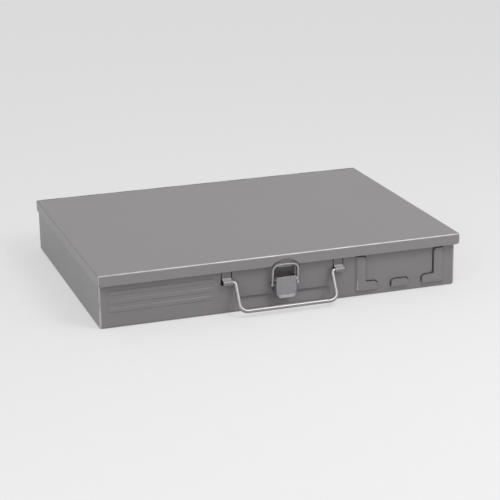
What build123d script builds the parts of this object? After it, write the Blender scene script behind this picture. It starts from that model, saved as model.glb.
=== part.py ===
from build123d import *
from math import asin, degrees, hypot, radians, sin, sqrt, tan
import os

os.makedirs("parts", exist_ok=True)

# Millimetres, +Z up. The origin is the centre of the box's underside and the
# front, with handle and latch, faces -Y. "Forward" distances are measured from
# the outer face of the front wall towards the viewer.

# Driving sizes of the case
lid_width = 440.0
lid_depth = 330.0
total_height = 66.0
sheet = 0.8
lid_side_overhang = 2.0
lid_front_overhang = 9.0
flange_height = 13.0
rest_gap = 0.3
body_corner_radius = 4.0
body_bend_radius = 3.0
lid_corner_radius = 2.5
lid_bend_radius = 1.6
flange_end_radius = 3.0

# Rolled hinge along the rear edge
hinge_pin_diameter = 3.6
hinge_end_inset = 4.5
knuckle_count = 17
knuckle_gap = 0.3
running_clearance = 0.08
hinge_relief = 0.5
pin_end_reach = 0.5

# Wire handle, hanging from two loops pressed out of the front wall
handle_wire_diameter = 5.0
handle_leg_spacing = 118.0
handle_drop = 35.0
handle_lean = 31.0
handle_floor_gap = 0.5
handle_wall_gap = 1.5
handle_corner_inside = 6.5
handle_eye_inside = 0.9
handle_eye_gap = 0.35
handle_fit = 0.35
wire_end_inset = 0.6
loop_width = 11.0
loop_ramp = 1.7
slit_width = 1.2

# Finger scoop pressed into the wall behind the handle bar
scoop_top = 18.5
scoop_bottom = 4.0
scoop_depth = 3.5
scoop_end_run = 7.0
scoop_step = 1.2
scoop_floor = 3.0

# Plain stiffening beads left of the handle
bead_count = 3
bead_margin = 10.0
bead_width = 5.0
bead_height = 0.9
bead_pitch = 10.0
bead_centre_height = 31.5
bead_round = 0.6

# Card holder right of the handle
holder_margin = 15.2
holder_bottom = 7.6
holder_top_gap = 3.7
bracket_width = 13.0
foot_length = 28.0
foot_height = 9.7
tab_width = 21.5
tab_height = 8.7
holder_raise = 2.8
holder_slope_run = 2.8
holder_inner_round = 3.6
holder_outer_round = 1.0
holder_root = 1.2
card_gap = 1.9
card_overlap = 3.0

# Draw latch: base plate, lever and hinged loop
latch_sheet = 1.0
latch_side_gap = 0.3
latch_head_radius = 2.1
latch_head_height = 0.8
pivot_below_flange = 17.5
pivot_forward = 8.0
base_thickness = 1.2
base_plate_width = 27.0
base_plate_rise = 15.0
base_plate_scoop_gap = 0.8
base_plate_corner = 5.0
ear_half_height = 2.6
lever_width = 25.0
lever_height = 24.8
lever_head_rise = 4.7
lever_front_reach = 5.0
lever_rear_reach = 5.4
lever_fold_radius = 1.8
lever_head_radius = 5.5
lever_heel_rise = 5.0
lip_height = 3.4
lip_reach = 1.2
lip_corner_radius = 3.5
lever_pin_diameter = 2.6
loop_pivot_back = 3.0
loop_pivot_drop = 6.0
loop_rivet_diameter = 2.5
loop_shoulder_radius = 1.9
loop_strap = 1.5
loop_depth = 5.0
loop_head_gap = 0.9
loop_corner_inside = 5.8
loop_crown_rise = 1.2
loop_crown_radius = 45.0
rivet_radius = 1.6
rivet_inset = 3.7
rivet_spacing = 6.5
rivet_head_radius = 2.8
rivet_head_height = 1.2
rivet_head_round = 0.95
rivet_tail_height = 0.8

# Keeper on the lid and the pocket it stands in
keeper_width = 16.0
keeper_thickness = 1.2
keeper_height = 7.5
keeper_drop = 0.5
keeper_reach = 0.3
keeper_gap = 0.7
band_setback = 0.5
pocket_side_room = 1.2
pocket_height = 8.0
pocket_clearance = 0.5

# Removable steel grid inside
rows = 4
columns = 6
front_void_clearance = 1.5
partition_sheet = 0.8
partition_top_gap = 0.8
rear_strip_gap = 2.1
end_tab_length = 9.0
slot_clearance = 0.3
slot_bottom = 12.0
slot_top_margin = 14.4
slots_per_column = 2
divider_sheet = 0.8
divider_end_gap = 0.3
divider_tab_height = 14.0
divider_tab_inset = 2.0
divider_tab_end_gap = 0.1
shoulder_clearance = 0.95
heel_clearance = 0.4

# Case and hinge places worked out from the sizes above
knuckle_radius = hinge_pin_diameter / 2 + running_clearance + sheet
body_width = lid_width - 2 * lid_side_overhang
body_depth = lid_depth - lid_front_overhang + knuckle_radius
body_front = -body_depth / 2
body_back = body_depth / 2
lid_front = body_front - lid_front_overhang
hinge_y = body_back - knuckle_radius
hinge_z = total_height - knuckle_radius
lid_underside = total_height - sheet
wall_top = lid_underside - rest_gap
flange_bottom = total_height - flange_height
rear_wall_top = hinge_z - knuckle_radius - hinge_relief
inside_front = body_front + sheet
inside_back = body_back - sheet
inside_half_width = body_width / 2 - sheet
hinge_length = body_width - 2 * hinge_end_inset
knuckle_length = hinge_length / knuckle_count

# Handle and front wall places
wire_radius = handle_wire_diameter / 2
handle_axis_forward = wire_radius + handle_wall_gap
handle_axis_height = handle_drop + wire_radius + handle_floor_gap
eye_bend_radius = handle_eye_inside + wire_radius
loop_spacing = handle_leg_spacing + 2 * (eye_bend_radius + handle_eye_gap) + loop_width
loops_end = (loop_spacing + loop_width) / 2
side_field = body_width / 2 - loops_end
field_centre_x = loops_end + side_field / 2
bead_length = side_field - 2 * bead_margin
holder_width = side_field - 2 * holder_margin
holder_height = flange_bottom - holder_top_gap - holder_bottom

# Latch and keeper places
pivot_height = flange_bottom - pivot_below_flange
base_plate_top = pivot_height + base_plate_rise
base_plate_bottom = scoop_top + base_plate_scoop_gap
lever_top = pivot_height + lever_head_rise
lever_bottom = lever_top - lever_height
lip_top = lever_bottom + lip_height
rivet_heights = (base_plate_bottom + rivet_inset, base_plate_bottom + rivet_inset + rivet_spacing)
loop_outer_width = lever_width + 2 * (latch_side_gap + latch_head_height + loop_head_gap + loop_strap)
loop_pivot_forward = pivot_forward - loop_pivot_back
loop_pivot_height = pivot_height - loop_pivot_drop
keeper_top = flange_bottom - keeper_drop
band_forward = lid_front_overhang - band_setback
band_height = keeper_top + keeper_gap + loop_crown_rise + loop_strap / 2
pocket_width = loop_outer_width + 2 * pocket_side_room
pocket_depth = band_setback + loop_depth / 2 + pocket_clearance

# Places of the grid inside
partition_top = lid_underside - partition_top_gap
rear_strip_top = hinge_z - knuckle_radius - rear_strip_gap
slot_top = partition_top - slot_top_margin
row_front = inside_front + scoop_depth + front_void_clearance
row_span = inside_back - partition_sheet - row_front
row_pitch = row_span / rows
column_pitch = 2 * inside_half_width / columns
heel_cut = body_bend_radius - sheet + heel_clearance


def block(x0, x1, y0, y1, z0, z1):
    """Box between two opposite corners."""
    size = Box(x1 - x0, y1 - y0, z1 - z0)
    return Pos((x0 + x1) / 2, (y0 + y1) / 2, (z0 + z1) / 2) * size


def along_x(profile, x0, x1):
    """Profile drawn in (Y, Z), run from x0 to x1."""
    return Pos(x0, 0, 0) * extrude(Plane.YZ * profile, x1 - x0)


def along_y(profile, y0, y1):
    """Profile drawn in (X, Z), run from y0 to y1."""
    return Pos(0, y1, 0) * extrude(Plane.XZ * profile, y1 - y0)


def rod(radius, x0, x1, y, z):
    """Round bar lying along X."""
    return along_x(Pos(y, z) * Circle(radius), x0, x1)


def stud(radius, x, y0, y1, z):
    """Round bar lying along Y."""
    return along_y(Pos(x, z) * Circle(radius), y0, y1)


def forward(distance):
    """Y of a point this far in front of the front wall."""
    return body_front - distance


def shape_of(points):
    """Flat face with straight sides through the points."""
    return make_face(Polyline(*points, close=True))


def bent_wire(points, radii):
    """Straight runs through the points, each inner corner bent to its radius."""
    pieces = []
    start = Vector(*points[0])
    for before, corner, after, radius in zip(points, points[1:], points[2:], radii):
        corner = Vector(*corner)
        back = (Vector(*before) - corner).normalized()
        ahead = (Vector(*after) - corner).normalized()
        half = radians(back.get_angle(ahead) / 2)
        first = corner + back * (radius / tan(half))
        last = corner + ahead * (radius / tan(half))
        middle = corner + (back + ahead).normalized() * (radius / sin(half) - radius)
        pieces.append(Line(start, first))
        pieces.append(ThreePointArc(first, middle, last))
        start = last
    pieces.append(Line(start, Vector(*points[-1])))
    return Wire(pieces)


def knuckle_span(index):
    """Ends along X of one hinge knuckle, gaps included on both sides."""
    start = -hinge_length / 2 + index * knuckle_length
    return start + knuckle_gap / 2, start + knuckle_length - knuckle_gap / 2


def knuckle_ring(index, bore_radius):
    x0, x1 = knuckle_span(index)
    outer = rod(knuckle_radius, x0, x1, hinge_y, hinge_z)
    return outer - rod(bore_radius, x0, x1, hinge_y, hinge_z)


def rounded_tray(width, depth, height, corner, bend):
    """Solid block with rounded upright corners and rounded underside edges."""
    solid = extrude(RectangleRounded(width, depth, corner), height)
    return fillet(solid.faces().sort_by(Axis.Z)[0].edges(), bend)


def plain_tray():
    outer = rounded_tray(body_width, body_depth, wall_top, body_corner_radius, body_bend_radius)
    inner = rounded_tray(
        body_width - 2 * sheet,
        body_depth - 2 * sheet,
        wall_top,
        body_corner_radius - sheet,
        body_bend_radius - sheet,
    )
    return outer - Pos(0, 0, sheet) * inner


def add_rear_hinge(tray):
    """Lower the rear edge and roll every second knuckle from it."""
    reach = body_width / 2 + sheet
    tray -= block(-reach, reach, hinge_y - rest_gap, body_back + sheet, rear_wall_top, total_height)
    for index in range(0, knuckle_count, 2):
        x0, x1 = knuckle_span(index)
        tray += block(x0, x1, inside_back, body_back, rear_wall_top - sheet, hinge_z)
        tray += knuckle_ring(index, hinge_pin_diameter / 2)
    return tray


def loop_hump(radius, ramp, behind_wall):
    """Bulge over the handle wire, drawn in (Y, Z), run back past the wall's outer face.
    A slope of 45 degrees leads down from the wall to the bulge, this ramp above its axis."""
    nose = Pos(forward(handle_axis_forward), handle_axis_height) * Circle(radius)
    back_reach = handle_axis_forward + behind_wall
    foot = shape_of([(0, -radius), (back_reach, -radius), (back_reach, back_reach + ramp), (0, ramp)])
    return nose + Pos(forward(handle_axis_forward), handle_axis_height) * foot


def add_handle_loop(tray, side):
    """Strip between two slits, pressed outward over the wire end."""
    x0 = side * loop_spacing / 2 - loop_width / 2
    x1 = x0 + loop_width
    bore_radius = wire_radius + handle_fit
    slit_bottom = handle_axis_height - bore_radius - sheet
    for edge in (x0 - slit_width, x1):
        tray -= block(
            edge, edge + slit_width,
            body_front - sheet, inside_front + sheet,
            slit_bottom, total_height,
        )
    tray += along_x(loop_hump(bore_radius + sheet, loop_ramp, sheet), x0, x1)
    return tray - along_x(loop_hump(bore_radius, loop_ramp - sqrt(2) * sheet, 2 * sheet), x0, x1)


def scoop(grow):
    """Hollow that is deepest under its top edge and runs out at the bottom."""
    depth = scoop_depth + grow
    mouth_height = scoop_top - scoop_bottom + 2 * grow
    mouth_centre = (scoop_top + scoop_bottom) / 2
    floor_height = scoop_floor + 2 * grow
    floor_centre = scoop_top - scoop_step - scoop_floor / 2
    mouth_width = handle_leg_spacing + 2 * grow
    floor_width = mouth_width - 2 * scoop_end_run
    mouth = Plane.XZ.offset(-body_front) * Pos(0, mouth_centre) * Rectangle(mouth_width, mouth_height)
    floor_plane = Plane.XZ.offset(-body_front - depth)
    floor = floor_plane * Pos(0, floor_centre) * Rectangle(floor_width, floor_height)
    return loft([mouth, floor], ruled=True)


def add_scoop(tray):
    return tray + scoop(sheet) - scoop(0)


def add_beads(tray):
    for index in range(bead_count):
        height = bead_centre_height + (index - (bead_count - 1) / 2) * bead_pitch
        outline = Pos(-field_centre_x, height) * SlotOverall(bead_length, bead_width)
        bead = along_y(outline, forward(bead_height), body_front + sheet / 2)
        bead = fillet(bead.faces().sort_by(Axis.Y)[0].edges(), bead_round)
        hollow = Pos(-field_centre_x, height) * SlotOverall(bead_length - 2 * sheet, bead_width - 2 * sheet)
        tray += bead
        tray -= along_y(hollow, forward(bead_height - sheet), inside_front + sheet)
    return tray


def bracket_outline():
    """Left bracket of the card holder: upright strip with a foot."""
    left = field_centre_x - holder_width / 2
    strip = Pos(left + bracket_width / 2, holder_bottom + holder_height / 2)
    foot = Pos(left + foot_length / 2, holder_bottom + foot_height / 2)
    outline = strip * Rectangle(bracket_width, holder_height)
    outline += foot * Rectangle(foot_length, foot_height)
    faces_card = outline.vertices().filter_by(
        lambda corner: corner.X > left + holder_root and corner.Y > holder_bottom + holder_root
    )
    outline = fillet(faces_card, holder_inner_round)
    outer_corners = outline.vertices().filter_by(
        lambda corner: corner.X < left + holder_root / 2 or corner.Y < holder_bottom + holder_root / 2
    )
    return fillet(outer_corners, holder_outer_round)


def tab_outline():
    outline = Pos(field_centre_x, holder_bottom + tab_height / 2) * Rectangle(tab_width, tab_height)
    return fillet(outline.vertices().group_by(Axis.Y)[-1], holder_inner_round)


def holder_outlines():
    left = bracket_outline()
    mirror_plane = Plane.YZ.offset(field_centre_x)
    return [left, mirror(left, about=mirror_plane), tab_outline()]


def outer_slope(side):
    """Wedge to cut off a bracket's outer side, which slopes back to the wall."""
    outer = field_centre_x + side * holder_width / 2
    beyond = 1 + sheet / holder_raise
    wedge = shape_of([
        (outer, body_front),
        (outer, forward(holder_raise * beyond)),
        (outer - side * holder_slope_run * beyond, forward(holder_raise * beyond)),
    ])
    return Pos(0, 0, holder_bottom - sheet) * extrude(wedge, holder_height + 2 * sheet)


def add_card_holder(tray):
    """Three raised grips, each slit free along all edges but its outer side and foot."""
    card_width = holder_width - 2 * bracket_width
    card_height = holder_height - foot_height + card_overlap
    card_bottom = holder_bottom + foot_height - card_overlap
    window = Pos(field_centre_x, holder_bottom + holder_root + holder_height / 2)
    window *= Rectangle(holder_width - 2 * holder_root, holder_height)
    for outline in holder_outlines():
        slit = (offset(outline, slit_width) - outline) & window
        tray -= along_y(slit, body_front - sheet, inside_front + sheet)
        tray += along_y(outline, forward(holder_raise), body_front + sheet / 2)
    for side in (-1, 1):
        tray -= outer_slope(side)
    card = Pos(field_centre_x, card_bottom + card_height / 2)
    card *= Rectangle(card_width + 2 * card_overlap, card_height)
    return tray - along_y(card, forward(card_gap), body_front)


def drill_rivet_holes(tray):
    for height in rivet_heights:
        tray -= stud(rivet_radius, 0, body_front - sheet, inside_front + sheet, height)
    return tray


def body_shell():
    tray = plain_tray()
    tray = add_rear_hinge(tray)
    tray = add_scoop(tray)
    tray = add_handle_loop(tray, -1)
    tray = add_handle_loop(tray, 1)
    tray = add_beads(tray)
    tray = add_card_holder(tray)
    return drill_rivet_holes(tray)


def lower_rounded(width, height, centre_x, bottom, radius):
    """Rectangle whose two lower corners are rounded."""
    outline = Pos(centre_x, bottom + height / 2) * Rectangle(width, height)
    return fillet(outline.vertices().group_by(Axis.Y)[0], radius)


def lid_block(grow):
    """Solid under the lid's outer face (grow 0) or inner face (grow = -sheet), too long at the rear."""
    spare = lid_corner_radius + lid_bend_radius
    depth = lid_depth + spare + 2 * grow
    centre_y = lid_front + (lid_depth + spare) / 2
    outline = RectangleRounded(lid_width + 2 * grow, depth, lid_corner_radius + grow)
    solid = extrude(outline, flange_height + grow)
    solid = fillet(solid.faces().sort_by(Axis.Z)[-1].edges(), lid_bend_radius + grow)
    return Pos(0, centre_y, flange_bottom) * solid


def dome_outline(grow):
    """Arched outline of the pocket in the lid's front flange, in (X, Z)."""
    half = pocket_width / 2 + grow
    top = flange_bottom + pocket_height + grow
    arch = ThreePointArc((-half, flange_bottom), (0, top), (half, flange_bottom))
    return make_face(arch + Line((half, flange_bottom), (-half, flange_bottom)))


def add_pocket(lid):
    """Push the flange inward above the latch loop."""
    floor = lid_front + pocket_depth
    lid += along_y(dome_outline(sheet), lid_front + sheet / 2, floor + sheet)
    return lid - along_y(dome_outline(0), lid_front - sheet, floor)


def add_lid_knuckles(lid):
    bore = hinge_pin_diameter / 2 + running_clearance
    for index in range(0, knuckle_count, 2):
        x0, x1 = knuckle_span(index)
        lid -= block(
            x0 - knuckle_gap, x1 + knuckle_gap,
            hinge_y - knuckle_radius - hinge_relief, body_back + sheet,
            flange_bottom, total_height + sheet,
        )
    for index in range(1, knuckle_count, 2):
        lid += knuckle_ring(index, bore)
    return lid


def round_flange_ends(lid):
    """Round the flanges' lower ends, where they meet at the corners and stop at the rear."""
    low = flange_bottom - sheet
    high = flange_bottom + flange_height / 2
    reach = lid_width + lid_depth
    front_view = lower_rounded(lid_width, flange_height, 0, flange_bottom, flange_end_radius)
    front_strip = block(-lid_width, lid_width, -reach, lid_front + flange_end_radius, low, high)
    lid -= front_strip - along_y(front_view, -reach, reach)
    centre_y = lid_front + lid_depth / 2
    side_view = lower_rounded(lid_depth, flange_height, centre_y, flange_bottom, flange_end_radius)
    for side in (-1, 1):
        ends = sorted((side * (lid_width / 2 - flange_end_radius), side * lid_width))
        side_strip = block(*ends, -reach, reach, low, high)
        lid -= side_strip - along_x(side_view, -reach, reach)
    return lid


def lid_shell():
    lid = lid_block(0) - lid_block(-sheet)
    lid -= block(-lid_width, lid_width, hinge_y, lid_depth, 0, total_height + sheet)
    lid = round_flange_ends(lid)
    lid = add_pocket(lid)
    return add_lid_knuckles(lid)


def lid_keeper():
    """Angle welded behind the pocket, its tongue passing under the flange."""
    back = lid_front + pocket_depth + sheet
    width = keeper_width / 2
    plate = block(-width, width, back, back + keeper_thickness, keeper_top, keeper_top + keeper_height)
    tongue = block(
        -width, width,
        lid_front - keeper_reach, back + keeper_thickness,
        keeper_top - keeper_thickness, keeper_top,
    )
    return plate + tongue


def hinge_pin():
    half = hinge_length / 2 + pin_end_reach
    pin = rod(hinge_pin_diameter / 2, -half, half, hinge_y, hinge_z)
    return chamfer(pin.edges().filter_by(GeomType.CIRCLE), pin_end_reach)


def handle():
    """Wire bail, leaning forward as it rests in the picture."""
    leg = handle_leg_spacing / 2
    end = loops_end - wire_end_inset
    points = [(-end, 0, 0), (-leg, 0, 0), (-leg, 0, -handle_drop)]
    points += [(leg, 0, -handle_drop), (leg, 0, 0), (end, 0, 0)]
    corner_radius = handle_corner_inside + wire_radius
    radii = [eye_bend_radius, corner_radius, corner_radius, eye_bend_radius]
    path = bent_wire(points, radii)
    section = Plane(origin=path @ 0, z_dir=path % 0) * Circle(wire_radius)
    bail = sweep(section, path=path)
    return Pos(0, forward(handle_axis_forward), handle_axis_height) * Rot(-handle_lean, 0, 0) * bail


def ear_profile():
    """Bearing ear of the latch base, in (Y, Z)."""
    nose = Pos(forward(pivot_forward), pivot_height) * Circle(ear_half_height)
    root_length = pivot_forward - base_thickness / 2
    root = Pos(forward(pivot_forward - root_length / 2), pivot_height)
    return nose + root * Rectangle(root_length, 2 * ear_half_height)


def latch_base():
    height = base_plate_top - base_plate_bottom
    outline = Pos(0, base_plate_bottom + height / 2)
    outline *= RectangleRounded(base_plate_width, height, base_plate_corner)
    base = along_y(outline, forward(base_thickness), body_front)
    ear_outer = lever_width / 2 - latch_sheet - latch_side_gap
    ear_inner = ear_outer - base_thickness
    for side in (-1, 1):
        ends = sorted((side * ear_inner, side * ear_outer))
        base += along_x(ear_profile(), *ends)
    pin_y = forward(pivot_forward)
    base -= rod(lever_pin_diameter / 2, -lever_width, lever_width, pin_y, pivot_height)
    for height in rivet_heights:
        base -= stud(rivet_radius, 0, forward(2 * base_thickness), body_front, height)
    return base


def base_rivet(height):
    head_end = forward(base_thickness + rivet_head_height)
    head = stud(rivet_head_radius, 0, head_end, forward(base_thickness), height)
    head = fillet(head.faces().sort_by(Axis.Y)[0].edges(), rivet_head_round)
    tail = stud(rivet_head_radius, 0, inside_front, inside_front + rivet_tail_height, height)
    return head + tail + stud(rivet_radius, 0, forward(base_thickness), inside_front, height)


def latch_base_rivets():
    return Compound([base_rivet(height) for height in rivet_heights])


def lever_side_profile():
    """One side wall of the lever, in (Y, Z), with a rounded head at the rear."""
    front = forward(pivot_forward + lever_front_reach)
    rear = forward(pivot_forward - lever_rear_reach)
    profile = shape_of([
        (front, lever_top), (front, lip_top), (front + latch_sheet, lip_top),
        (rear, lip_top + lever_heel_rise), (rear, lever_top),
    ])
    head = profile.vertices().sort_by_distance((rear, lever_top, 0))[0]
    return fillet(head, lever_head_radius)


def lever_lip():
    """Thumb lip below the front face, flared forward, its corners rounded."""
    front = forward(pivot_forward + lever_front_reach)
    half = lever_width / 2 - lever_fold_radius
    profile = shape_of([
        (front, lip_top), (front + latch_sheet, lip_top),
        (front + latch_sheet - lip_reach, lever_bottom), (front - lip_reach, lever_bottom),
    ])
    outline = lower_rounded(2 * half, lever_height, 0, lever_bottom, lip_corner_radius)
    return along_x(profile, -half, half) & along_y(outline, front - 2 * lip_reach, body_front)


def latch_lever():
    """Folded channel, open at the back and the top."""
    half = lever_width / 2
    front = forward(pivot_forward + lever_front_reach)
    lever = along_x(lever_side_profile(), -half, half)
    folds = lever.edges().filter_by(Axis.Z).group_by(Axis.Y)[0]
    lever = fillet(folds, lever_fold_radius)
    inside = half - latch_sheet
    hollow = block(-inside, inside, front + latch_sheet, body_back, 0, total_height)
    inner_folds = hollow.edges().filter_by(Axis.Z).group_by(Axis.Y)[0]
    lever -= fillet(inner_folds, lever_fold_radius - latch_sheet)
    lever += lever_lip()
    pin_bore = lever_pin_diameter / 2 + running_clearance
    lever -= rod(pin_bore, -half, half, forward(pivot_forward), pivot_height)
    rivet_bore = loop_rivet_diameter / 2
    return lever - rod(rivet_bore, -half, half, forward(loop_pivot_forward), loop_pivot_height)


def latch_lever_pin():
    half = lever_width / 2
    y = forward(pivot_forward)
    pin = rod(lever_pin_diameter / 2, -half, half, y, pivot_height)
    for side in (-1, 1):
        start = side * (half + latch_side_gap)
        ends = sorted((start, start + side * latch_head_height))
        pin += rod(latch_head_radius, *ends, y, pivot_height)
        neck = sorted((side * half, start))
        pin += rod(lever_pin_diameter / 2, *neck, y, pivot_height)
    return pin


def loop_rivet(side):
    """Shouldered rivet that carries one leg of the loop on the lever."""
    half = lever_width / 2
    leg_inner = loop_outer_width / 2 - loop_strap
    leg_outer = loop_outer_width / 2
    steps = [
        (loop_shoulder_radius, half - latch_sheet - latch_side_gap, half - latch_sheet),
        (loop_rivet_diameter / 2, half - latch_sheet, half),
        (loop_shoulder_radius, half, leg_inner - running_clearance),
        (loop_rivet_diameter / 2, leg_inner - running_clearance, leg_outer + running_clearance),
        (latch_head_radius, leg_outer + running_clearance, leg_outer + latch_head_height),
    ]
    rivet = None
    for radius, near, far in steps:
        ends = sorted((side * near, side * far))
        piece = rod(radius, *ends, forward(loop_pivot_forward), loop_pivot_height)
        rivet = piece if rivet is None else rivet + piece
    return rivet


def latch_loop_rivets():
    return Compound([loop_rivet(-1), loop_rivet(1)])


def latch_loop():
    """Flat strap bent to an arch with a low crown, standing on edge and leaning to the keeper."""
    run = band_forward - loop_pivot_forward
    rise = band_height - loop_pivot_height
    top = hypot(run, rise)
    lean = degrees(asin(run / top))
    leg = (loop_outer_width - loop_strap) / 2
    shoulder = top - loop_crown_rise
    corner_radius = loop_corner_inside + loop_strap / 2
    path = bent_wire(
        [(-leg, 0, 0), (-leg, 0, shoulder), (0, 0, top), (leg, 0, shoulder), (leg, 0, 0)],
        [corner_radius, loop_crown_radius, corner_radius],
    )
    section = Plane(origin=path @ 0, x_dir=(1, 0, 0), z_dir=path % 0)
    strap = sweep(section * Rectangle(loop_strap, loop_depth), path=path)
    for side in (-1, 1):
        ends = sorted((side * (leg - loop_strap / 2), side * (leg + loop_strap / 2)))
        strap += rod(loop_depth / 2, *ends, 0, 0)
        bore = loop_rivet_diameter / 2 + running_clearance
        strap -= rod(bore, *ends, 0, 0)
    return Pos(0, forward(loop_pivot_forward), loop_pivot_height) * Rot(lean, 0, 0) * strap


def cut_slots(wall, front, back):
    """Open the row of slots that the cross sheets hook into."""
    for slot in range(1, columns * slots_per_column):
        x = -inside_half_width + slot * column_pitch / slots_per_column
        width = divider_sheet / 2 + slot_clearance
        wall -= block(x - width, x + width, front, back, slot_bottom, slot_top)
    return wall


def partition(index):
    """Slotted sheet across the box with a tab folded at each end."""
    y0 = row_front + index * row_pitch
    y1 = y0 + partition_sheet
    half = inside_half_width
    outline = Pos(0, (sheet + partition_top) / 2) * Rectangle(2 * half, partition_top - sheet)
    outline = chamfer(outline.vertices().group_by(Axis.Y)[0], heel_cut)
    wall = along_y(outline, y0, y1)
    for side in (-1, 1):
        ends = sorted((side * half, side * (half - partition_sheet)))
        wall += block(*ends, y0, y0 + end_tab_length, sheet + heel_cut, partition_top)
    return cut_slots(wall, y0, y1)


def rear_strip():
    """Slotted strip welded flat on the rear wall, below the hinge."""
    half = inside_half_width - body_corner_radius
    y0 = inside_back - partition_sheet
    strip = block(-half, half, y0, inside_back, body_bend_radius, rear_strip_top)
    return cut_slots(strip, y0, inside_back)


def divider(row, column):
    """Cross sheet between two partitions, hooked in their slots."""
    front = row_front + row * row_pitch + partition_sheet + divider_end_gap
    back = row_front + (row + 1) * row_pitch - divider_end_gap
    tab_reach = divider_end_gap + partition_sheet - divider_tab_end_gap
    plate = Pos((front + back) / 2, (sheet + partition_top) / 2)
    plate *= Rectangle(back - front, partition_top - sheet)
    last_back = inside_back - partition_sheet - divider_end_gap
    shoulder = last_back - hinge_y + partition_top - hinge_z + sqrt(2) * (knuckle_radius + shoulder_clearance)
    plate = chamfer(plate.vertices().group_by(Axis.Y)[-1], shoulder)
    plate = chamfer(plate.vertices().group_by(Axis.Y)[0], heel_cut)
    low = slot_bottom + divider_tab_inset + divider_tab_height / 2
    high = slot_top - divider_tab_inset - divider_tab_height / 2
    plate += Pos(front, low) * Rectangle(2 * tab_reach, divider_tab_height)
    plate += Pos(back, high) * Rectangle(2 * tab_reach, divider_tab_height)
    x = -inside_half_width + column * column_pitch
    return along_x(plate, x - divider_sheet / 2, x + divider_sheet / 2)


def save(name, shape):
    shape.label = name
    export_step(shape, f"parts/{name}.step")


save("body_shell", body_shell())
save("lid_shell", lid_shell())
save("lid_keeper", lid_keeper())
save("hinge_pin", hinge_pin())
save("handle", handle())
save("latch_base", latch_base())
save("latch_base_rivets", latch_base_rivets())
save("latch_lever", latch_lever())
save("latch_lever_pin", latch_lever_pin())
save("latch_loop", latch_loop())
save("latch_loop_rivets", latch_loop_rivets())
save("rear_strip", rear_strip())
for number in range(rows):
    save(f"partition_{number + 1}", partition(number))
for row in range(rows):
    for column in range(1, columns):
        save(f"divider_row{row + 1}_{column}", divider(row, column))
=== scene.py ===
from math import pi, radians

import bpy
from mathutils import Matrix, Vector


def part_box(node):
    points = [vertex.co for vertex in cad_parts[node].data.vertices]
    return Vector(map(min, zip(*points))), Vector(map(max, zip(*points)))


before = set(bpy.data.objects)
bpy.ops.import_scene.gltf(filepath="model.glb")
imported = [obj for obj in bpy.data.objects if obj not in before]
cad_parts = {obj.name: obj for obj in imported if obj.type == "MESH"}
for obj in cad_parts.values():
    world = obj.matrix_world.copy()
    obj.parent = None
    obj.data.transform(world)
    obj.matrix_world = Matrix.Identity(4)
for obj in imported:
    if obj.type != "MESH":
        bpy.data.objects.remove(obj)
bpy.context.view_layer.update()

# Camera that matches the photograph, found from the corners of lid and box.
# Metres and degrees, the azimuth counted from the view along +Y; lens and sensor in millimetres.
camera_place = (-0.5971, -1.8252, 0.6298)
camera_azimuth = 18.534
camera_elevation = 17.609
camera_roll = -0.940
camera_lens = 116.54
sensor_width = 36.0

# Even sky and pale floor, and the level at which the camera and the gloss see both
sky_level = 0.66
seen_backdrop = 0.807
floor_evenness = 0.6
floor_dark = (0.800, 0.800, 0.800)
floor_light = (0.814, 0.814, 0.814)
floor_grain_scale = 40.0
floor_roughness = 0.9
floor_half_width = 9.0
floor_drop = 0.0002

# Soft boxes round the case: place and width in metres, and the light each gives the case,
# 1 being one watt a square metre. The gloss box shows in the gloss alone.
soft_boxes = {
    "key": ((0.45, -0.90, 1.11), 0.55, 1.0),
    "front_left": ((-0.95, -1.15, 0.60), 0.90, 0.60),
    "front_right": ((0.90, -1.20, 0.60), 0.90, 0.30),
}
gloss_box = ((0.45, -0.90, 1.12), 0.45, 1.5)

# Colours of paint and metal, linear
# The lid's grey is one paint made a shade lighter and the box's the same paint made a shade darker:
# painted light on the lid, painted shade on the box
lid_grey_painted_light = (0.186, 0.175, 0.182)
body_grey_painted_shade = (0.177, 0.167, 0.173)
grid_grey = (0.170, 0.165, 0.170)
# Near-black for the hidden face behind the front wall's slits: painted shade
painted_shade_black = (0.022, 0.021, 0.022)
zinc_wire = (0.250, 0.242, 0.250)
zinc_strap = (0.430, 0.420, 0.430)
zinc_dull = (0.262, 0.255, 0.262)
# Dark grey for the latch's base plate: painted shade inside the loop
base_plate_shade_grey = (0.115, 0.110, 0.112)
plain_steel = (0.360, 0.355, 0.360)

# Paint: mottling in colour and gloss, and orange peel as a slow wave and a fine grain.
# Scales are blotches a metre, depths are metres.
mottle_scale = 9.0
mottle_contrast = 0.03
paint_roughness = 0.30
paint_roughness_range = 0.03
lid_gloss = 0.50
body_gloss = 0.34
peel_wave = {"scale": 4.5, "detail": 1.0, "depth": 0.004, "strength": 0.12}
peel_grain = {"scale": 1400.0, "detail": 2.0, "depth": 0.00002, "strength": 0.5}

# Plating: clouds in colour and gloss, and a fine grain
cloud_scale = 160.0
cloud_dark = 0.92
cloud_light = 1.06
cloud_roughness_range = 0.055
plate_grain = {"scale": 2600.0, "detail": 2.0, "depth": 0.00001, "strength": 0.6}

# A noise lies mostly between its low and its high value, and has this many finer layers.
# Metal is flat where its rounded and its true direction agree, and sharp where they don't.
noise_low = 0.3
noise_high = 0.7
blotch_detail = 4.0
patch_detail = 3.0
flat_agreement = 0.985
sharp_agreement = 0.90

# Radius at which each kind of edge looks rounded
sheet_edge = 0.0006
grid_edge = 0.0003
wire_edge = 0.0002
strap_edge = 0.0003
lever_edge = 0.0004

# How much lighter the painted highlights on paint and on plating are, and how much of it sharp edges show
paint_highlight_lift = 1.9
slope_highlight_lift = 2.6
front_edge_highlight_lift = 3.0
plating_highlight_lift = 1.35
paint_highlight_share = 0.7
plating_highlight_share = 0.5

# Painted highlight along the lid's front edges and the box's front corners, over this width, in patches
lid_highlight_width = 0.0016
box_highlight_width = 0.0030
full_highlight_share = 0.3
patch_scale = 60.0
patch_full = 0.6
patch_least_share = 0.55
# How fast the painted shade on the hidden face fades in
painted_shade_fade = 0.0001
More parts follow.
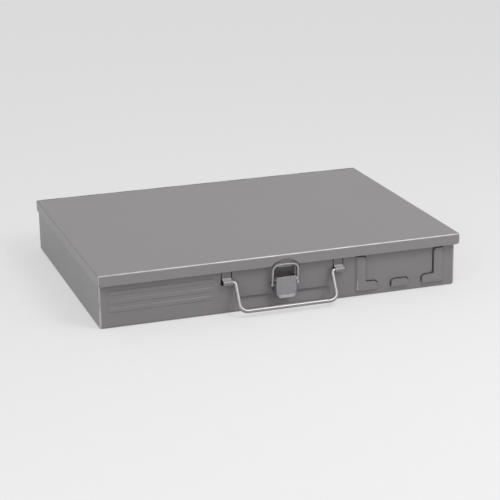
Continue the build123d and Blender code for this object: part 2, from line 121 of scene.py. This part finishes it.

# Painted highlights in front of the wall, as middle and half size: the slopes of the handle's two loops,
# and the lower end of the left bracket's outer ridge
loop_across = (0.06825, 0.0058)
slope_height = (0.0425, 0.0012)
slope_forward = 0.0006
ridge_across = (0.09175, 0.0005)
ridge_height = (0.0145, 0.0055)
ridge_forward = 0.0022
patch_fade = 0.0004


class Finish:
    """A material, its colour so far, and short ways to add and join its nodes."""

    def __init__(self, name):
        self.material = bpy.data.materials.new(name)
        self.material.use_nodes = True
        self.tree = self.material.node_tree
        self.shader = self.tree.nodes["Principled BSDF"]
        self.place = self.add("ShaderNodeTexCoord").outputs["Object"]
        self.colour = None

    def add(self, kind, **settings):
        node = self.tree.nodes.new(kind)
        for key, value in settings.items():
            setattr(node, key, value)
        return node

    def join(self, source, target):
        self.tree.links.new(source, target)

    def set(self, name, value):
        """Give the shader a number or an output."""
        if isinstance(value, float):
            self.shader.inputs[name].default_value = value
        else:
            self.join(value, self.shader.inputs[name])

    def noise(self, scale, detail):
        node = self.add("ShaderNodeTexNoise")
        node.inputs["Scale"].default_value = scale
        node.inputs["Detail"].default_value = detail
        self.join(self.place, node.inputs["Vector"])
        return node.outputs["Fac"]

    def spread(self, source, low, high, to_low=0.0, to_high=1.0):
        """Stretch the range from low to high to another one."""
        node = self.add("ShaderNodeMapRange")
        node.inputs["From Min"].default_value = low
        node.inputs["From Max"].default_value = high
        node.inputs["To Min"].default_value = to_low
        node.inputs["To Max"].default_value = to_high
        self.join(source, node.inputs["Value"])
        return node.outputs["Result"]

    def both(self, first, second, rule="MINIMUM"):
        """One value of two: the smaller, or what another rule makes of them."""
        node = self.add("ShaderNodeMath", operation=rule)
        self.join(first, node.inputs[0])
        self.join(second, node.inputs[1])
        return node.outputs[0]

    def blend(self, share, first, second):
        """Mix of two colours, each given as numbers or as an output."""
        node = self.add("ShaderNodeMix", data_type="RGBA")
        self.join(share, node.inputs[0])
        for socket, value in ((node.inputs[6], first), (node.inputs[7], second)):
            if isinstance(value, tuple):
                socket.default_value = (*value, 1.0)
            else:
                self.join(value, socket)
        return node.outputs[2]

    def lay(self, mask, colour):
        """Lay a colour over the one so far, where the mask is 1."""
        self.colour = self.blend(mask, self.colour, colour)
        self.set("Base Color", self.colour)

    def rounded(self, radius):
        """Direction of the surface, with its edges rounded."""
        node = self.add("ShaderNodeBevel", samples=6)
        node.inputs["Radius"].default_value = radius
        return node.outputs["Normal"]

    def rough(self, below, scale, detail, depth, strength):
        """Direction of the surface with a noise raised on it."""
        node = self.add("ShaderNodeBump")
        node.inputs["Distance"].default_value = depth
        node.inputs["Strength"].default_value = strength
        self.join(self.noise(scale, detail), node.inputs["Height"])
        self.join(below, node.inputs["Normal"])
        return node.outputs["Normal"]

    def edges(self, rounded, share):
        """This share on sharp outer edges, 0 on flat metal."""
        true = self.add("ShaderNodeNewGeometry").outputs["Normal"]
        agreement = self.add("ShaderNodeVectorMath", operation="DOT_PRODUCT")
        self.join(rounded, agreement.inputs[0])
        self.join(true, agreement.inputs[1])
        return self.spread(agreement.outputs["Value"], flat_agreement, sharp_agreement, 0.0, share)

    def axes(self, mirrored):
        """X, Y and Z of the place; X counts from the middle to both sides if mirrored."""
        split = self.add("ShaderNodeSeparateXYZ")
        self.join(self.place, split.inputs[0])
        across = split.outputs["X"]
        if mirrored:
            size = self.add("ShaderNodeMath", operation="ABSOLUTE")
            self.join(across, size.inputs[0])
            across = size.outputs[0]
        return across, split.outputs["Y"], split.outputs["Z"]

    def front_edges(self, front, side, top, width):
        """1 along the front edges of a box with this front, side and top, 0 further in than the width."""
        x, y, z = self.axes(mirrored=True)
        full = full_highlight_share * width
        near_side = self.spread(x, side - width, side - full)
        near_top = self.spread(z, top - width, top - full)
        near_front = self.spread(y, front + width, front + full)
        return self.both(near_front, self.both(near_side, near_top, "MAXIMUM"))

    def front_patch(self, across, height, front, mirrored):
        """1 on a patch in front of the given depth, 0 elsewhere."""
        x, y, z = self.axes(mirrored)
        patch = self.spread(y, front, front - patch_fade)
        for source, (middle, half) in ((x, across), (z, height)):
            low = middle - half
            high = middle + half
            patch = self.both(patch, self.spread(source, low - patch_fade, low + patch_fade))
            patch = self.both(patch, self.spread(source, high + patch_fade, high - patch_fade))
        return patch


def lighter(colour, factor):
    return tuple(min(1.0, channel * factor) for channel in colour)


def painted_steel(name, colour, edge_radius, gloss):
    """Satin powder coat: orange peel, faint mottling and painted highlights on sharp edges."""
    paint = Finish(name)
    mottle = paint.noise(mottle_scale, blotch_detail)
    share = paint.spread(mottle, noise_low, noise_high)
    darkest = lighter(colour, 1 - mottle_contrast)
    lightest = lighter(colour, 1 + mottle_contrast)
    paint.colour = paint.blend(share, darkest, lightest)
    rounded = paint.rounded(edge_radius)
    # Painted highlight: sharp edges made lighter
    paint.lay(paint.edges(rounded, paint_highlight_share), lighter(colour, paint_highlight_lift))
    least = paint_roughness - paint_roughness_range
    most = paint_roughness + paint_roughness_range
    paint.set("Roughness", paint.spread(mottle, noise_low, noise_high, least, most))
    paint.set("Specular IOR Level", gloss)
    waved = paint.rough(rounded, **peel_wave)
    paint.set("Normal", paint.rough(waved, **peel_grain))
    return paint


def paint_front_edge_highlights(paint, colour, front, side, top, width):
    """Painted highlight along the front edges, between these places, broken into patches."""
    blotches = paint.noise(patch_scale, patch_detail)
    patchy = paint.spread(blotches, noise_low, patch_full, patch_least_share, 1.0)
    edges = paint.front_edges(front, side, top, width)
    paint.lay(paint.both(edges, patchy, "MULTIPLY"), lighter(colour, front_edge_highlight_lift))


def paint_loop_and_ridge_highlights(paint, colour, wall_front):
    """Painted highlights on the slopes of the loops and on the ridge of the left bracket."""
    slopes = paint.front_patch(loop_across, slope_height, wall_front - slope_forward, mirrored=True)
    paint.lay(slopes, lighter(colour, slope_highlight_lift))
    ridge = paint.front_patch(ridge_across, ridge_height, wall_front - ridge_forward, mirrored=False)
    paint.lay(ridge, lighter(colour, paint_highlight_lift))


def paint_shade_on_hidden_face(paint, front):
    """Painted shade: near-black on the hidden front face of a sheet, so the slits in front of it look
    dark.
    """
    y = paint.axes(mirrored=False)[1]
    paint.lay(paint.spread(y, front + painted_shade_fade, front), painted_shade_black)


def plated_steel(name, colour, edge_radius, roughness, metal=1.0):
    """Faint clouding in colour and gloss, and painted highlights on sharp edges. Dull plating is part
    metal, part grey film.
    """
    plating = Finish(name)
    plating.set("Metallic", metal)
    cloud = plating.noise(cloud_scale, blotch_detail)
    share = plating.spread(cloud, noise_low, noise_high)
    plating.colour = plating.blend(share, lighter(colour, cloud_dark), lighter(colour, cloud_light))
    rounded = plating.rounded(edge_radius)
    # Painted highlight: sharp edges made lighter
    plating.lay(plating.edges(rounded, plating_highlight_share), lighter(colour, plating_highlight_lift))
    least = roughness - cloud_roughness_range
    most = roughness + cloud_roughness_range
    plating.set("Roughness", plating.spread(cloud, noise_low, noise_high, least, most))
    plating.set("Normal", plating.rough(rounded, **plate_grain))
    return plating


def dress(finish, *names):
    """Give the nodes whose names start so their finish."""
    for name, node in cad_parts.items():
        if name.startswith(names):
            for slot in node.material_slots:
                slot.material = finish.material


def dress_paint():
    lid_low, lid_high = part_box("lid_shell")
    lid_paint = painted_steel("lid_paint", lid_grey_painted_light, sheet_edge, lid_gloss)
    # Painted highlight along the lid's front edges
    paint_front_edge_highlights(lid_paint, lid_grey_painted_light, lid_low[1], lid_high[0], lid_high[2], lid_highlight_width)
    dress(lid_paint, "lid_shell")

    # The wall is as far in front of the middle as the rear is behind it
    box_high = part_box("body_shell")[1]
    wall_front = -box_high[1]
    body_paint = painted_steel("body_paint", body_grey_painted_shade, sheet_edge, body_gloss)
    # Painted highlight along the box's front corners
    paint_front_edge_highlights(body_paint, body_grey_painted_shade, wall_front, box_high[0], box_high[2], box_highlight_width)
    # Painted highlights on the loops' slopes and the bracket's ridge
    paint_loop_and_ridge_highlights(body_paint, body_grey_painted_shade, wall_front)
    dress(body_paint, "body_shell")

    grid_paint = painted_steel("grid_paint", grid_grey, grid_edge, lid_gloss)
    dress(grid_paint, "partition", "divider", "rear_strip")
    first_partition_painted_shade = painted_steel("first_partition_painted_shade", grid_grey, grid_edge, lid_gloss)
    # The first partition's hidden front face is painted near-black: painted shade seen through the slits
    paint_shade_on_hidden_face(first_partition_painted_shade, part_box("partition_1")[0][1])
    dress(first_partition_painted_shade, "partition_1")


def dress_metal():
    handle_plating = plated_steel("handle_plating", zinc_wire, wire_edge, roughness=0.40, metal=0.55)
    dress(handle_plating, "handle")
    latch_plating = plated_steel("latch_plating", zinc_dull, lever_edge, roughness=0.42, metal=0.7)
    dress(latch_plating, "latch_lever", "lid_keeper")
    # The base plate is coloured dark: painted shade inside the loop and behind the lever
    base_plate_shade = plated_steel("base_plate_shade", base_plate_shade_grey, strap_edge, roughness=0.50, metal=0.8)
    dress(base_plate_shade, "latch_base")
    strap_plating = plated_steel("strap_plating", zinc_strap, strap_edge, roughness=0.40, metal=0.7)
    dress(strap_plating, "latch_loop")
    rivet_steel = plated_steel("rivet_steel", plain_steel, wire_edge, roughness=0.38)
    dress(rivet_steel, "latch_base_rivets", "latch_lever_pin", "latch_loop_rivets", "hinge_pin")


def studio_floor():
    """Pale floor that takes shadows, evened out where the camera and the gloss see it."""
    floor = Finish("pale_floor")
    share = floor.spread(floor.noise(floor_grain_scale, patch_detail), noise_low, noise_high)
    floor.set("Base Color", floor.blend(share, floor_dark, floor_light))
    floor.set("Roughness", floor_roughness)
    floor.set("Specular IOR Level", 0.0)
    path = floor.add("ShaderNodeLightPath")
    seen = floor.both(path.outputs["Is Camera Ray"], path.outputs["Is Glossy Ray"], "MAXIMUM")
    even = floor.add("ShaderNodeEmission")
    even.inputs["Strength"].default_value = seen_backdrop
    mix = floor.add("ShaderNodeMixShader")
    floor.join(floor.spread(seen, 0.0, 1.0, 0.0, floor_evenness), mix.inputs[0])
    floor.join(floor.shader.outputs[0], mix.inputs[1])
    floor.join(even.outputs[0], mix.inputs[2])
    floor.join(mix.outputs[0], floor.tree.nodes["Material Output"].inputs["Surface"])
    bpy.ops.mesh.primitive_plane_add(size=2 * floor_half_width, location=(0, 0, -floor_drop))
    plane = bpy.context.object
    plane.name = "floor"
    plane.data.materials.append(floor.material)


def studio_sky():
    """Even grey light, seen by the camera and in the gloss as the pale backdrop."""
    sky = bpy.data.worlds.new("sky")
    bpy.context.scene.world = sky
    sky.use_nodes = True
    tree = sky.node_tree
    background = tree.nodes["Background"]
    background.inputs["Color"].default_value = (1, 1, 1, 1)
    path = tree.nodes.new("ShaderNodeLightPath")
    seen = tree.nodes.new("ShaderNodeMath")
    seen.operation = "MAXIMUM"
    tree.links.new(path.outputs["Is Camera Ray"], seen.inputs[0])
    tree.links.new(path.outputs["Is Glossy Ray"], seen.inputs[1])
    level = tree.nodes.new("ShaderNodeMapRange")
    level.inputs["To Min"].default_value = sky_level
    level.inputs["To Max"].default_value = seen_backdrop
    tree.links.new(seen.outputs[0], level.inputs["Value"])
    tree.links.new(level.outputs["Result"], background.inputs["Strength"])


def soft_box(name, place, width, level):
    """Square lamp that faces the case."""
    lamp = bpy.data.lights.new(name, "AREA")
    lamp.size = width
    lamp.energy = level * pi * Vector(place).length_squared
    holder = bpy.data.objects.new(name, lamp)
    bpy.context.collection.objects.link(holder)
    holder.location = place
    holder.rotation_euler = Vector(place).to_track_quat("Z", "Y").to_euler()
    holder.visible_camera = False
    return holder


def studio_boxes():
    for name, box in soft_boxes.items():
        soft_box(name, *box)
    soft_box("gloss_box", *gloss_box).visible_diffuse = False


def photo_camera():
    camera = bpy.data.objects.new("camera", bpy.data.cameras.new("camera"))
    bpy.context.collection.objects.link(camera)
    camera.data.lens = camera_lens
    camera.data.sensor_width = sensor_width
    turn = Matrix.Rotation(radians(-camera_azimuth), 4, "Z")
    tilt = Matrix.Rotation(radians(90 - camera_elevation), 4, "X")
    roll = Matrix.Rotation(radians(camera_roll), 4, "Z")
    camera.matrix_world = Matrix.Translation(camera_place) @ turn @ tilt @ roll
    bpy.context.scene.camera = camera


dress_paint()
dress_metal()
studio_floor()
studio_sky()
studio_boxes()
photo_camera()
bpy.context.scene.view_settings.view_transform = "Standard"
